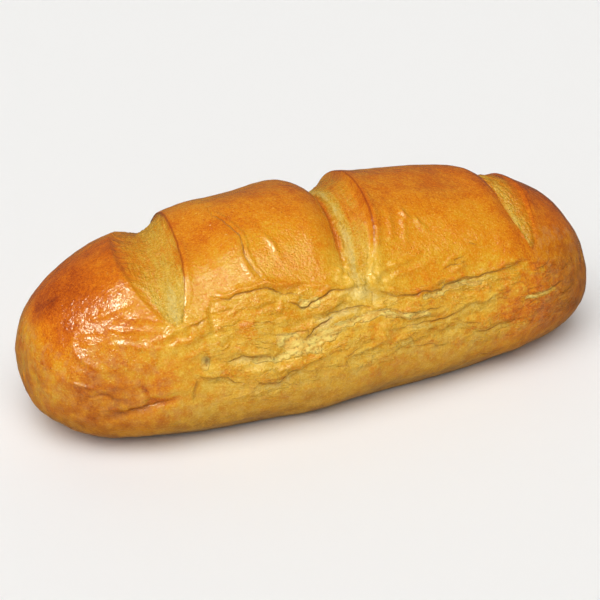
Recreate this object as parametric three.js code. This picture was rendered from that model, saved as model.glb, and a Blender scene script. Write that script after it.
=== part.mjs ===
// A long, free-standing loaf of mixed wheat bread with three slashes across its top.
// Millimetres and degrees. +X runs along the loaf, +Z is up, and -Y is the side whose crust tore most.
// The origin is the middle of the loaf's box, at the height of its flat underside.
//
// The skin is a grid of rings, one for each station along the loaf, and columns, one for each angle
// round the section. Angle 0 is the ridge, 90 the widest line of the -Y side, -90 that of the +Y side.
import * as THREE from "three";

const { clamp, degToRad, lerp, radToDeg, smoothstep } = THREE.MathUtils;

// Overall size of the smooth loaf, before its relief.
const LENGTH = 300;
const WIDTH = 127;
const HEIGHT = 93;
const WIDEST_HEIGHT = 29.5; // height of the widest line and of both tips
const HEEL_REACH = 1.25; // how deep the lower curve would go without the oven floor, in widest heights
const BOW = -2.5; // how far the middle line bends to one side from the loaf's middle to its tips

// Roundness of each outline: 2 is an ellipse, and higher is squarer.
const PLAN_POWER = 2.75; // seen from above
const RIDGE_POWER = 2.36; // top line seen from the side
const HEEL_POWER = 3.4; // bottom line seen from the side
const DOME_POWER = 2.05; // upper half of the section
const FOOT_POWER = 2.6; // lower half of the section

// Slow unevenness of a hand-shaped loaf, and the lines along which it swells or sags: [station, rise].
const UNEVEN_HEIGHT = 0.9;
const UNEVEN_LENGTH = 42;
const WAVE_COUNT = 7;
const WAVE_TURN = 2.4; // radians between the headings of two waves
const CROWN = [
  [-126, 0], [-106, 1], [-74, -2], [-52, 0.5], [-20, 0.8],
  [2, 0], [25, -0.6], [45, -1.3], [70, -1.2], [90, 0],
];
const FLANK = [[-112, 0], [-88, -1.4], [-60, -0.8], [-32, 1.6], [-4, 0], [38, -1.8], [66, -1.2], [92, 0]];

// The slashes, from left to right. x is where the middle line crosses the ridge. slant moves the line
// by the time it is SLASH_SPAN degrees down the -Y side, and the other way on the +Y side. bow and
// backBow curve it on each side. front and back are the angles of its tips, and blunt rounds them.
// From left to right, the crust rounds down over a shoulder and drops at the slash's left edge, sinks to
// the deepest line, and then the stretched dough climbs to a raised lip at the right edge. The last step
// up to the lip starts at step, in half widths.
const SLASH_SPAN = 60;
const SLASHES = [
  {
    x: -88.5, slant: -10.5, bow: 9, backBow: 9, half: 14, front: 57, back: 55, blunt: 2.2, depth: 6.8,
    shoulder: 2.5, leftDrop: 0.4, deepest: -0.3, climb: 1.8, rightDrop: 0.16, step: 0.93, lip: 0.9,
  },
  {
    x: 10.5, slant: -8, bow: -6, backBow: 6, half: 9.5, front: 60, back: 57, blunt: 4, depth: 10.5,
    shoulder: 17, leftDrop: 0.9, deepest: -0.72, climb: 0.9, rightDrop: 0.14, step: 0.75, lip: 1.5,
  },
  {
    x: 103.2, slant: -5.8, bow: -1.9, backBow: 3, half: 9.2, front: 56, back: 54, blunt: 2.8, depth: 3.8,
    shoulder: 12, leftDrop: 0.82, deepest: -0.7, climb: 1.15, rightDrop: 0.08, step: 0.75, lip: 0.5,
  },
];
const SLASH_TAPER = 0.8; // how a slash narrows to its tips
const DEPTH_TAPER = 1.15; // how its depth follows its width
const LIP_TAPER = 1.5; // how its lip follows its width
const LIP_WIDTH = 7; // how far the raised lip runs before it has sunk to the crust again

// Three long tears on the -Y side. turns are [station, angle] where each one bends. phase shifts its
// ragged line and the places where it gapes. Under each one the crust starts sunk and climbs back.
const TEARS = [
  {
    depth: 1.8,
    phase: 0,
    turns: [
      [-76, 50.5], [-56, 47.5], [-42, 50.5], [-11, 57.3], [2, 59.5],
      [12, 64], [27, 67], [45, 64], [96, 61],
    ],
  },
  {
    depth: 1.9,
    phase: 2,
    turns: [
      [-84, 74], [-68, 75], [-52, 79], [-34, 66], [-14, 64.5],
      [0, 67.5], [16, 75.5], [32, 78], [56, 77.5], [80, 74],
    ],
  },
  {
    depth: 1.5,
    phase: 4,
    turns: [
      [-90, 82], [-77, 84], [-66, 88.5], [-52, 90.5], [-38, 88],
      [-10, 86], [12, 84.5], [42, 84.5], [62, 89.5], [86, 91],
    ],
  },
];
const RIM_STEP = 1.2; // degrees from a tear's line up to its rim
const RIM_WIDTH = 4; // degrees over which the curled rim dies out upwards
const RIM_RISE = 0.45;
const FOOT_STEP = 2.2; // degrees from a tear's line down to the next column
const TEAR_CLIMB = 8; // degrees over which the crust climbs back
const TEAR_FADE = 12; // length over which a tear dies out at each end
const GAPE_LENGTH = 41; // from one place where a tear gapes to the next
const RAGGED_ANGLE = 0.69; // degrees that a tear's line wanders with the first of these wave lengths
const RAGGED_LENGTHS = [23, 13.7, 8.9];
const RAGGED_SHARES = [1, 0.7, 0.5];
const RAGGED_PHASES = [1, 2.1, 3.3];

// Torn crust between the upper and the lower tear.
const SUNK_DEPTH = 0.8;
const CRAG_HEIGHT = 0.7;
const CRAG_LENGTH = 13;

// Grid: numbers of steps between the lines that it follows.
const CAP_RINGS = 14;
const LOBE_RINGS = 14;
const SLASH_LINES = [-1, -0.92, -0.72, -0.45, -0.15, 0.15, 0.45, 0.75, 0.93]; // in half widths
const SLASH_TIP_HALF = 2.6; // least half width of the lines across a slash
const FANNED_HALF = 11; // their half width at FANNED_ANGLE, well under the tips
const FANNED_ANGLE = 115;
const TOP_COLUMNS = 12; // ridge to upper tear
const BAND_COLUMNS = [5, 3]; // upper to middle tear, middle to lower tear
const HEEL_COLUMNS = 10; // lower tear to underside
const UNDERSIDE_COLUMNS = 2;
const BACK_HEEL_COLUMNS = 6;
const BACK_COLUMNS = 16;
const STEEPEST_FOOT = 83; // under the lifted tips the underside narrows to a strip from this angle
const FOOT_FADE = 12; // degrees above the underside over which the relief dies out
const NORMAL_STEP = 0.02; // radians between the points that show which way the skin faces

// v to a power, keeping v's sign.
function signedPower(v, power) {
  return Math.sign(v) * Math.abs(v) ** power;
}

// Value at x of a curve through [x, value] turns, level at each turn.
function through(turns, x) {
  const last = turns.length - 1;
  let k = 1;
  while (k < last && turns[k][0] <= x) k++;
  const [x0, v0] = turns[k - 1];
  const [x1, v1] = turns[k];
  return lerp(v0, v1, smoothstep(x, x0, x1));
}

// Station along the loaf from the turn of the plan outline: -90 degrees at one tip, 90 at the other.
function stationAt(turn) {
  return (LENGTH / 2) * signedPower(Math.sin(turn), 2 / PLAN_POWER);
}

// Running length of the plan outline, so that rings can be spaced evenly on the skin.
const OUTLINE = (() => {
  const steps = 4000;
  const table = [{ turn: -Math.PI / 2, x: -LENGTH / 2, y: 0, run: 0 }];
  for (let i = 1; i <= steps; i++) {
    const turn = (i / steps - 0.5) * Math.PI;
    const x = stationAt(turn);
    const y = (WIDTH / 2) * Math.max(0, Math.cos(turn)) ** (2 / PLAN_POWER);
    const before = table[i - 1];
    table.push({ turn, x, y, run: before.run + Math.hypot(x - before.x, y - before.y) });
  }
  return table;
})();
const OUTLINE_RUN = OUTLINE[OUTLINE.length - 1].run;

// Value of one column of that table where another column has the given value.
function lookUp(given, value, wanted) {
  let low = 0;
  let high = OUTLINE.length - 1;
  while (high - low > 1) {
    const half = (low + high) >> 1;
    if (OUTLINE[half][given] < value) low = half;
    else high = half;
  }
  const [a, b] = [OUTLINE[low], OUTLINE[high]];
  return lerp(a[wanted], b[wanted], clamp((value - a[given]) / (b[given] - a[given]), 0, 1));
}

// Half width of the section at a turn, its rise over the widest line and its drop under it.
function section(turn) {
  const share = Math.abs(Math.sin(turn)) ** (2 / PLAN_POWER);
  const round = (power) => Math.max(0, 1 - share ** power) ** (1 / power);
  return {
    x: stationAt(turn),
    middle: BOW * (share ** 2 - 1 / 3),
    half: (WIDTH / 2) * round(PLAN_POWER),
    rise: (HEIGHT - WIDEST_HEIGHT) * round(RIDGE_POWER),
    drop: WIDEST_HEIGHT * HEEL_REACH * round(HEEL_POWER),
  };
}

// Angle at which a section meets the oven floor.
function footAngle(cut) {
  const steepest = Math.sin(degToRad(STEEPEST_FOOT));
  const sine = Math.min((WIDEST_HEIGHT / Math.max(cut.drop, 1e-9)) ** (FOOT_POWER / 2), steepest);
  return 90 + radToDeg(Math.asin(sine));
}

// Smooth skin at a turn and an angle.
function smoothSkin(turn, angle) {
  const cut = section(turn);
  const side = -Math.sign(angle);
  const a = degToRad(Math.abs(angle));
  const sine = Math.max(0, Math.sin(a));
  if (a <= Math.PI / 2) {
    const y = cut.half * sine ** (2 / DOME_POWER);
    const z = cut.rise * Math.max(0, Math.cos(a)) ** (2 / DOME_POWER);
    return new THREE.Vector3(cut.x, cut.middle + side * y, WIDEST_HEIGHT + z);
  }
  const y = cut.half * sine ** (2 / FOOT_POWER);
  const z = cut.drop * (-Math.cos(a)) ** (2 / FOOT_POWER);
  return new THREE.Vector3(cut.x, cut.middle + side * y, WIDEST_HEIGHT - z);
}

// Which way the smooth skin faces.
function facing(turn, angle) {
  const limit = Math.PI / 2 - NORMAL_STEP;
  const t = clamp(turn, -limit, limit);
  const step = radToDeg(NORMAL_STEP);
  const along = smoothSkin(t + NORMAL_STEP, angle).sub(smoothSkin(t - NORMAL_STEP, angle));
  const round = smoothSkin(t, angle + step).sub(smoothSkin(t, angle - step));
  return round.cross(along).normalize();
}

// Slow waves in several directions, mostly between -1 and 1.
function waves(p, waveLength) {
  let sum = 0;
  for (let k = 1; k <= WAVE_COUNT; k++) {
    const heading = k * WAVE_TURN;
    const rate = (2 * Math.PI) / (waveLength * (0.7 + 0.12 * k));
    const way = p.x * Math.cos(heading) + p.y * Math.sin(heading) + p.z * Math.cos(2 * heading);
    sum += Math.sin(rate * way + k * k);
  }
  return (2 * sum) / WAVE_COUNT;
}

// Rise of the skin along the crown and the -Y flank.
function swell(x, angle) {
  const crown = Math.abs(angle) < 90 ? Math.cos(degToRad(angle)) ** 2 : 0;
  return through(CROWN, x) * crown + through(FLANK, x) * smoothstep(angle, 55, 95);
}

// Middle line, openness from 0 at the tips to 1 in the middle, and half width of a slash at an angle.
function slashAt(slash, angle) {
  const tip = angle > 0 ? slash.front : slash.back;
  const u = clamp(angle, -slash.back, slash.front) / SLASH_SPAN;
  const curve = u > 0 ? slash.bow : slash.backBow;
  const open = Math.max(0, 1 - Math.abs(angle / tip) ** slash.blunt) ** SLASH_TAPER;
  return { middle: slash.x + slash.slant * u + curve * u * u, open, half: slash.half * open };
}

// Height over the smooth skin because of one slash.
function slashRelief(slash, x, angle) {
  const { middle, open, half } = slashAt(slash, angle);
  if (open === 0) return 0;
  const depth = slash.depth * open ** DEPTH_TAPER;
  const g = (x - middle) / half;
  if (g < -1) {
    const away = clamp(((-1 - g) * half) / slash.shoulder, 0, 1);
    return -depth * slash.leftDrop * (1 - Math.sqrt(1 - (1 - away) ** 2));
  }
  if (g < slash.deepest) {
    const down = Math.sin(((g + 1) / (slash.deepest + 1)) * (Math.PI / 2));
    return -depth * lerp(slash.leftDrop, 1, down);
  }
  const up = clamp((g - slash.deepest) / (1 - slash.deepest), 0, 1) ** slash.climb;
  const away = (Math.max(0, g - 1) * half) / LIP_WIDTH;
  const lip = slash.lip * open ** LIP_TAPER * Math.exp(-away * away);
  return lerp(-depth * lerp(1, slash.rightDrop, up), lip, smoothstep(g, slash.step, 1));
}

// Angle of a tear's ragged line at a station.
function tearLine(tear, x) {
  let wander = 0;
  RAGGED_LENGTHS.forEach((length, i) => {
    wander += RAGGED_SHARES[i] * Math.sin((2 * Math.PI * x) / length + RAGGED_PHASES[i] * tear.phase);
  });
  return through(tear.turns, x) + RAGGED_ANGLE * wander;
}

// How far a tear gapes at a station, from 0 to 1.
function tearOpen(tear, x) {
  const start = tear.turns[0][0];
  const end = tear.turns[tear.turns.length - 1][0];
  const ends = smoothstep(x, start, start + TEAR_FADE) * (1 - smoothstep(x, end - TEAR_FADE, end));
  return ends * (0.55 + 0.45 * Math.sin((2 * Math.PI * x) / GAPE_LENGTH + 1.7 * tear.phase + 1));
}

// Height over the smooth skin because of the tears.
function tearRelief(p, angle) {
  if (angle <= 0) return 0;
  let sum = 0;
  for (const tear of TEARS) {
    const off = angle - tearLine(tear, p.x);
    const cut = 1 - (off < 0 ? smoothstep(-off, 0, RIM_STEP) : smoothstep(off, 0, TEAR_CLIMB));
    const rim = off < 0 ? Math.exp(-(((off + RIM_STEP) / RIM_WIDTH) ** 2)) * (1 - cut) : 0;
    sum += tearOpen(tear, p.x) * (RIM_RISE * rim - tear.depth * cut);
  }
  const upper = tearLine(TEARS[0], p.x);
  const lower = tearLine(TEARS[2], p.x);
  const between = smoothstep(angle, upper, upper + 5) * (1 - smoothstep(angle, lower - 4, lower + 2));
  const torn = between * tearOpen(TEARS[0], p.x);
  return sum + torn * (CRAG_HEIGHT * waves(p, CRAG_LENGTH) - SUNK_DEPTH);
}

// Finished skin: the smooth skin moved along the way it faces.
function skin(turn, angle) {
  const p = smoothSkin(turn, angle);
  const kept = smoothstep(footAngle(section(turn)) - Math.abs(angle), 0, FOOT_FADE);
  let relief = swell(p.x, angle) + UNEVEN_HEIGHT * waves(p, UNEVEN_LENGTH) + tearRelief(p, angle);
  for (const slash of SLASHES) relief += slashRelief(slash, p.x, angle);
  p.addScaledVector(facing(turn, angle), relief * kept);
  p.z = Math.max(0, p.z);
  return p;
}

// Turns at which the rings cross a column's angle, without the two tips.
function ringTurns(angle) {
  const runs = [];
  let from = 0;
  let rings = CAP_RINGS;
  for (const slash of SLASHES) {
    const { middle, half } = slashAt(slash, angle);
    const tip = angle > 0 ? slash.front : slash.back;
    const fanned = smoothstep(Math.abs(angle), tip, FANNED_ANGLE);
    const reach = Math.max(half, lerp(SLASH_TIP_HALF, FANNED_HALF, fanned));
    const left = lookUp("x", middle - reach, "run");
    const right = lookUp("x", middle + reach, "run");
    for (let i = 1; i < rings; i++) runs.push(lerp(from, left, i / rings));
    for (const g of SLASH_LINES) runs.push(lerp(left, right, (g + 1) / 2));
    runs.push(right);
    from = right;
    rings = LOBE_RINGS;
  }
  for (let i = 1; i < CAP_RINGS; i++) runs.push(lerp(from, OUTLINE_RUN, i / CAP_RINGS));
  return runs.map((run) => lookUp("run", run, "turn"));
}

// Angles of the columns of a section, from the ridge down the -Y side, under the loaf and back up the
// +Y side. under is set on the columns that cross the flat underside, from 0 to 1.
function columns(turn) {
  const x = stationAt(turn);
  const foot = footAngle(section(turn));
  const list = [];
  const run = (from, to, steps) => {
    for (let i = 0; i < steps; i++) list.push({ angle: lerp(from, to, i / steps) });
  };
  const lines = TEARS.map((tear) => tearLine(tear, x));
  run(0, lines[0] - RIM_STEP, TOP_COLUMNS);
  lines.forEach((line, k) => {
    list.push({ angle: line - RIM_STEP }, { angle: line });
    if (k < lines.length - 1) run(line + FOOT_STEP, lines[k + 1] - RIM_STEP, BAND_COLUMNS[k]);
    else run(line + FOOT_STEP, foot, HEEL_COLUMNS);
  });
  for (let i = 0; i < UNDERSIDE_COLUMNS; i++) list.push({ angle: foot, under: i / UNDERSIDE_COLUMNS });
  run(-foot, -90, BACK_HEEL_COLUMNS);
  run(-90, 0, BACK_COLUMNS);
  return list;
}

// One point of the grid. Rings follow the slashes and columns follow the tears, so a ring's turn
// depends on the column's angle and the other way round, and a few passes settle both.
function gridPoint(ring, column) {
  let turn = ringTurns(0)[ring];
  let spot = columns(turn)[column];
  for (let pass = 0; pass < 3; pass++) {
    turn = ringTurns(spot.angle)[ring];
    spot = columns(turn)[column];
  }
  const point = skin(turn, spot.angle);
  return spot.under === undefined ? point : point.lerp(skin(turn, -spot.angle), spot.under);
}

// The whole loaf as one closed geometry.
function loafGeometry() {
  const ringCount = ringTurns(0).length;
  const columnCount = columns(0).length;
  const points = [];
  for (let i = 0; i < ringCount; i++) {
    for (let j = 0; j < columnCount; j++) points.push(gridPoint(i, j));
  }
  const at = (i, j) => i * columnCount + (j % columnCount);
  const leftTip = points.push(smoothSkin(-Math.PI / 2, 0)) - 1;
  const rightTip = points.push(smoothSkin(Math.PI / 2, 0)) - 1;
  const faces = [];
  for (let j = 0; j < columnCount; j++) {
    faces.push(leftTip, at(0, j + 1), at(0, j));
    faces.push(rightTip, at(ringCount - 1, j), at(ringCount - 1, j + 1));
    for (let i = 0; i < ringCount - 1; i++) {
      faces.push(at(i, j), at(i, j + 1), at(i + 1, j));
      faces.push(at(i + 1, j), at(i, j + 1), at(i + 1, j + 1));
    }
  }
  const geometry = new THREE.BufferGeometry().setFromPoints(points).setIndex(faces);
  geometry.computeBoundingBox();
  const centre = geometry.boundingBox.getCenter(new THREE.Vector3());
  return geometry.translate(-centre.x, -centre.y, 0);
}

const crust = new THREE.MeshStandardMaterial({ color: 0xd9902f, roughness: 0.42, metalness: 0 });
const loaf = new THREE.Mesh(loafGeometry(), crust);
loaf.name = "loaf";

const bread = new THREE.Group();
bread.add(loaf);

export default bread;
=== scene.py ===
import math

import bpy
import numpy as np
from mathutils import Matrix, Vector


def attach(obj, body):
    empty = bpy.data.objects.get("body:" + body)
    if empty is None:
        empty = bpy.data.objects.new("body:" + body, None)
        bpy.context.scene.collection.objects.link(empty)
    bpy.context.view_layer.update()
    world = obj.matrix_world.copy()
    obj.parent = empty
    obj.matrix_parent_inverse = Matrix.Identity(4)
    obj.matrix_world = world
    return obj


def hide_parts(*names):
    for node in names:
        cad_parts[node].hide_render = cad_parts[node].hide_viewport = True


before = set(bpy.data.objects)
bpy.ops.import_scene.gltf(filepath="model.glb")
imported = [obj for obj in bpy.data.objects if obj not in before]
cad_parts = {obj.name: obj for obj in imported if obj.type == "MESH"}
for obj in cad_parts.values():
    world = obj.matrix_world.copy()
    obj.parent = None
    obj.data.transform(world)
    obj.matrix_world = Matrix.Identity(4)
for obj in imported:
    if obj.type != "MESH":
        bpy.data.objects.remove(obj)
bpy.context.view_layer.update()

MM = 0.001

# ---- the loaf's smooth body -------------------------------------------------------------------

LENGTH, WIDTH, HEIGHT = 300, 127, 93
WIDEST_HEIGHT = 29.5
HEEL_REACH = 1.25
BOW = -2.5
PLAN_POWER, RIDGE_POWER, HEEL_POWER = 2.75, 2.36, 3.4
DOME_POWER, FOOT_POWER = 2.05, 2.6
STEEPEST_FOOT = 83
CENTRE = (0.202, 0.526)  # middle of the skin's box, which the solid's frame has at its origin

UNEVEN_HEIGHT, UNEVEN_LENGTH = 0.9, 42
WAVE_COUNT, WAVE_TURN = 7, 2.4
CROWN = [(-126, 0), (-106, 1), (-74, -2), (-52, 0.5), (-20, 0.8),
         (2, 0), (25, -0.6), (45, -1.3), (70, -1.2), (90, 0)]
FLANK = [(-112, 0), (-88, -1.4), (-60, -0.8), (-32, 1.6), (-4, 0), (38, -1.8), (66, -1.2), (92, 0)]

# A slash's x, slant, bow and back_bow lay its middle line, its half, front, back and blunt give its outline,
# and its depth, shoulder, left_drop, deepest, climb, right_drop, step and lip its section, whose left edge is
# at -1 and right edge at 1. The rest is for looks: pale is how pale the floor is all over, more in the strip
# and more towards the front end, strip its middle and width, left_edge and right_edge where the floor starts
# and ends, line the seam along the right edge, and left_rim, valley_shade and fillet the marks along the left
# one, valley_shade being painted shade where the crust rolls down into the slash.
SLASH_SPAN = 60
SLASHES = [
    dict(x=-88.5, slant=-10.5, bow=9, back_bow=9, half=14, front=57, back=55, blunt=2.2, depth=6.8,
         shoulder=2.5, left_drop=0.4, deepest=-0.3, climb=1.8, right_drop=0.16, step=0.93, lip=0.9,
         pale=(0.06, 0.34, 0.58), strip=(0.34, 0.5), left_edge=(-1.02, -0.6), right_edge=(0.94, 0.985),
         line=1.0, left_rim=0.04, valley_shade=0.0, fillet=0.0),
    dict(x=10.5, slant=-8, bow=-6, back_bow=6, half=9.5, front=60, back=57, blunt=4, depth=10.5,
         shoulder=17, left_drop=0.9, deepest=-0.72, climb=0.9, right_drop=0.14, step=0.75, lip=1.5,
         pale=(0.07, 0.72, 0.45), strip=(-0.38, 0.28), left_edge=(-1.15, -0.35), right_edge=(0.55, 0.98),
         line=1.1, left_rim=0.25, valley_shade=0.8, fillet=1.0),
    dict(x=103.2, slant=-5.8, bow=-1.9, back_bow=3, half=9.2, front=56, back=54, blunt=2.8, depth=3.8,
         shoulder=12, left_drop=0.82, deepest=-0.7, climb=1.15, right_drop=0.08, step=0.75, lip=0.5,
         pale=(0.04, 0.34, 0.16), strip=(-0.45, 0.35), left_edge=(-1.2, -0.5), right_edge=(0.1, 1.0),
         line=0.5, left_rim=0.2, valley_shade=0.5, fillet=0.5),
]
SLASH_TAPER, DEPTH_TAPER, LIP_TAPER = 0.8, 1.15, 1.5
LIP_WIDTH = 7

TEARS = [
    dict(depth=1.8, phase=0, turns=[(-76, 50.5), (-56, 47.5), (-42, 50.5), (-11, 57.3), (2, 59.5),
                                    (12, 64), (27, 67), (45, 64), (96, 61)]),
    dict(depth=1.9, phase=2, turns=[(-84, 74), (-68, 75), (-52, 79), (-34, 66), (-14, 64.5),
                                    (0, 67.5), (16, 75.5), (32, 78), (56, 77.5), (80, 74)]),
    dict(depth=1.5, phase=4, turns=[(-90, 82), (-77, 84), (-66, 88.5), (-52, 90.5), (-38, 88),
                                    (-10, 86), (12, 84.5), (42, 84.5), (62, 89.5), (86, 91)]),
]
RIM_STEP, RIM_WIDTH, RIM_RISE = 1.2, 4, 0.45
TEAR_CLIMB, TEAR_FADE, GAPE_LENGTH = 8, 12, 41
RAGGED_ANGLE = 0.69
RAGGED_WAVES = [(23, 1, 1), (13.7, 0.7, 2.1), (8.9, 0.5, 3.3)]  # length, share, phase
SUNK_DEPTH, CRAG_HEIGHT, CRAG_LENGTH = 0.8, 0.7, 13
FOOT_FADE = 12

# ---- the finer grid ---------------------------------------------------------------------------

CAP_RINGS, LOBE_RINGS = 95, 105
SLASH_LINES = list(np.linspace(-1, 0.82, 22)) + [0.87, 0.92, 0.95, 0.98]
SLASH_TIP_HALF, FANNED_HALF, FANNED_ANGLE = 6, 11, 115
FRONT_COLUMNS = [(0, 44, 38), (44, 95, 68)]  # from angle, to angle, steps
HEEL_COLUMNS, UNDERSIDE_COLUMNS, BACK_HEEL_COLUMNS = 27, 4, 12
BACK_COLUMNS = [(-90, -30, 28), (-30, 0, 22)]

# ---- marks seen on the crust: [station, angle] of each, one degree being about a millimetre ------

# depth and width of each crack, rise of the crust above it as a share of that depth, and its line
CRACKS = [
    (1.0, 0.45, 0.5, [(-71, 47.5), (-66, 50.2), (-59, 49), (-47, 49.3), (-41, 53.2), (-33, 55.2)]),
    (1.2, 0.50, 0.5, [(-39, 57.2), (-34, 60.2), (-30, 61), (-24, 58.3), (-17, 56.8), (-5, 57.8)]),
    (0.9, 0.40, 0.3, [(-29, 66.8), (-24, 67.3), (-18, 66), (-6, 66.2), (1, 67.3)]),
    (1.1, 0.50, 0.4, [(-35, 74), (-31, 72.8), (-29, 71.2), (-22, 69.2), (-17, 67.5)]),
    (0.8, 0.45, 0.3, [(-49, 69.2), (-40, 71.2), (-32, 70.5), (-26, 70.8)]),
    (1.2, 0.55, 0.3, [(-72, 76.8), (-69, 77.8), (-64, 76), (-60, 77.5), (-52, 78), (-50, 79.8)]),
    (1.0, 0.45, 0.2, [(-85, 81), (-79, 83.2), (-72, 84.5), (-69, 87.2), (-65, 88.5)]),
    (1.0, 0.45, 0.2, [(-61, 87.5), (-55, 90), (-48, 90.5), (-43, 86.8), (-35, 85.8)]),
    (0.7, 1.10, 0.1, [(-88, 91.5), (-88, 89.2), (-87, 86.5), (-85, 83)]),
    (0.6, 0.40, 0.1, [(-16, 85.8), (-12, 85), (-8.7, 84.2)]),
    (0.4, 0.50, 0.1, [(-58, 62.8), (-50, 64.2), (-48, 66)]),
    (0.6, 0.60, 0.3, [(-86, 57.2), (-82, 57), (-78, 55.5)]),
    (0.85, 0.38, 0.25, [(-55, -1), (-56, 4), (-52, 14), (-50, 22), (-51, 28), (-52, 34), (-50, 42),
                       (-48, 47)]),
    (1.2, 0.50, 0.5, [(8, 62.2), (15, 65), (26, 67), (28, 66), (40, 67), (43, 64.8), (50, 63.8),
                      (61, 63.8), (71, 63.5), (82, 62.4)]),
    (0.7, 0.45, 0.2, [(4, 69), (12, 71), (18, 73.5), (27, 74.3), (40, 74.5)]),
    (0.9, 0.45, 0.3, [(12, 78.8), (22, 79.6), (30, 80), (39, 80), (48, 78.5), (55, 77.2)]),
    (0.7, 0.45, 0.2, [(41, 80.5), (47, 82.2), (51, 84.3), (58, 85.5), (61, 87.2)]),
    (1.1, 0.50, 0.2, [(58, 89.6), (63, 90.8), (72, 90.5), (82, 90.4)]),
    (0.6, 0.40, 0.2, [(11, 85.3), (20, 84.2), (23, 87.6), (29, 87)]),
    (0.6, 0.40, 0.2, [(11, 89.8), (15, 87.8), (20, 88.2), (30, 90.2), (41, 92.5)]),
    (0.35, 0.35, 0.1, [(1, 67.3), (2.7, 64.2), (4, 60.8)]),
    (0.5, 0.40, 0.3, [(42, 58.3), (47, 57), (56, 56.2)]),
    (0.5, 0.40, 0.3, [(44, 57.2), (49, 54.8), (56, 53)]),
    (0.5, 0.45, 0.1, [(60, 48), (64, 49.3)]),
    (0.6, 0.45, 0.2, [(92, 66.8), (99, 66.2), (104, 65.2), (108, 62)]),
    (0.5, 0.40, 0.1, [(84, 70.2), (88, 72.8)]),
    (0.8, 0.50, 0.2, [(89, 77.4), (96, 80), (102, 80), (108, 78.5), (114, 77)]),
    (0.5, 0.45, 0.1, [(89, 84), (93, 82.2), (98, 82)]),
    (0.5, 0.40, 0.1, [(107, 86.4), (116, 85), (126, 83)]),
    (0.5, 0.40, 0.1, [(113, 70.8), (120, 67.6)]),
    (0.6, 0.50, 0.1, [(83, 109.2), (89, 106.5)]),
    (0.6, 0.60, 0.1, [(63, 110), (70, 115), (71.5, 111.5), (75, 111.2)]),
    (0.5, 0.50, 0.1, [(-128, 95.2), (-118, 94.7)]),
    (0.8, 0.60, 0.2, [(-119, 98), (-114, 95), (-108, 92), (-103, 91.5), (-96, 90.4)]),
]

# rise, width and line of each soft fold: a negative rise is a crease
FOLDS = [
    (-1.3, 1.7, [(-71, 47.5), (-73, 50.2), (-75, 53), (-74.6, 57), (-75.6, 64)]),
    (0.8, 1.5, [(-72, 45.6), (-66, 48.2), (-59, 47.0), (-47, 47.2), (-40, 50.6), (-31, 53.2), (-17, 54.6),
                (-6, 55.6)]),
    (0.8, 1.5, [(-54, 33), (-53, 40), (-52, 46)]),
    (0.7, 1.3, [(-40, 24), (-38, 32), (-37, 38)]),
    (0.9, 1.1, [(-50, 57.8), (-46, 59.8), (-43.8, 59.2), (-41.6, 54.8)]),
    (1.0, 1.2, [(-52, 87.5), (-48, 85.2), (-43, 83.4), (-32, 83.6), (-21, 81.4)]),
    (0.9, 1.6, [(-36, 71.5), (-29, 68.6), (-23, 66.6)]),
    (0.8, 1.4, [(2, 56), (12, 53), (22, 50.8), (34, 47.5)]),
    (0.6, 1.2, [(4, 60), (14, 57.5), (25, 55.4), (37, 53.5)]),
    (0.5, 1.6, [(26, 22), (23, 31), (20, 42)]),
    (0.5, 1.5, [(33, 24), (30, 33), (27, 42)]),
    (0.8, 1.2, [(44, 60.5), (50, 58.6), (56, 57.5)]),
    (0.9, 1.0, [(64, 66.5), (65, 69.5), (66, 73)]),
    (1.0, 1.2, [(31, 27), (33, 31), (35, 33)]),
    (1.0, 1.2, [(36, 31), (38, 35), (41, 38)]),
    (0.8, 1.3, [(3, 77.5), (6, 82), (10, 85)]),
    (0.8, 1.5, [(-131, 40), (-133.4, 45), (-134, 50), (-133, 56.5), (-130, 63), (-126, 67.5),
                (-121, 70.5)]),
    (0.7, 1.3, [(-138, 73), (-134, 76.8), (-127, 81.5)]),
    (-1.5, 2.0, [(-128, 103), (-121, 98.8), (-116, 95.5), (-110, 93.8), (-106, 90.5), (-96, 90.2),
                 (-87, 90.5)]),
    (-0.6, 1.5, [(-133, 86), (-127, 84.2), (-121, 88.5), (-116, 90.5)]),
    (-0.7, 1.5, [(-107, 90), (-107.6, 86), (-109.5, 81)]),
    (0.9, 1.3, [(-103, 60.8), (-96, 59.2), (-89, 56.5), (-83, 56), (-78, 54.6)]),
    (0.9, 1.3, [(-97, 65), (-91, 63.2), (-84, 62.8), (-78, 60.5)]),
    (0.5, 1.3, [(-112, 43), (-105, 47.2), (-97, 51.2), (-89, 54)]),
    (0.6, 1.3, [(-119, 46), (-112, 50.8), (-104, 54.2), (-96, 55.5)]),
    (0.7, 1.4, [(-119, 55), (-111, 59), (-104, 64), (-99, 64.6)]),
    (0.5, 1.5, [(-125, 37), (-118, 38.2), (-109, 38.5)]),
    (0.6, 1.3, [(-92, 70), (-86, 70.5), (-80, 68)]),
]

# half width and line of each strip where the skin is off and the crumb shows
CRUMB = [
    (2.6, [(-46, 72.5), (-40, 73.5)]),
    (3.4, [(-40, 76.5), (-30, 77.5)]),
    (2.6, [(-30, 76), (-19, 74)]),
    (1.7, [(-49, 80), (-44, 79)]),
    (1.5, [(-58, 78.6), (-51, 79.4)]),
    (1.7, [(-33, 59.6), (-26, 60.6)]),
    (1.6, [(-20, 72.5), (-10, 71.5), (0, 70.3), (9, 71)]),
    (1.3, [(9, 72.5), (20, 74.8), (30, 76)]),
    (1.3, [(30, 69), (40, 68.3)]),
    (1.8, [(42, 66.4), (49, 65.6)]),
    (1.3, [(52, 66), (62, 66.6)]),
    (1.1, [(88, 79.2), (97, 80.8), (106, 79.6)]),
    (1.6, [(-81, 74.6), (-82.3, 77.6)]),
]
BITE = (-80.6, 74.6, 1.6, 0.8)  # the hole at the top of the leftmost crumb, painted dark as shade: place, radius, depth
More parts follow.
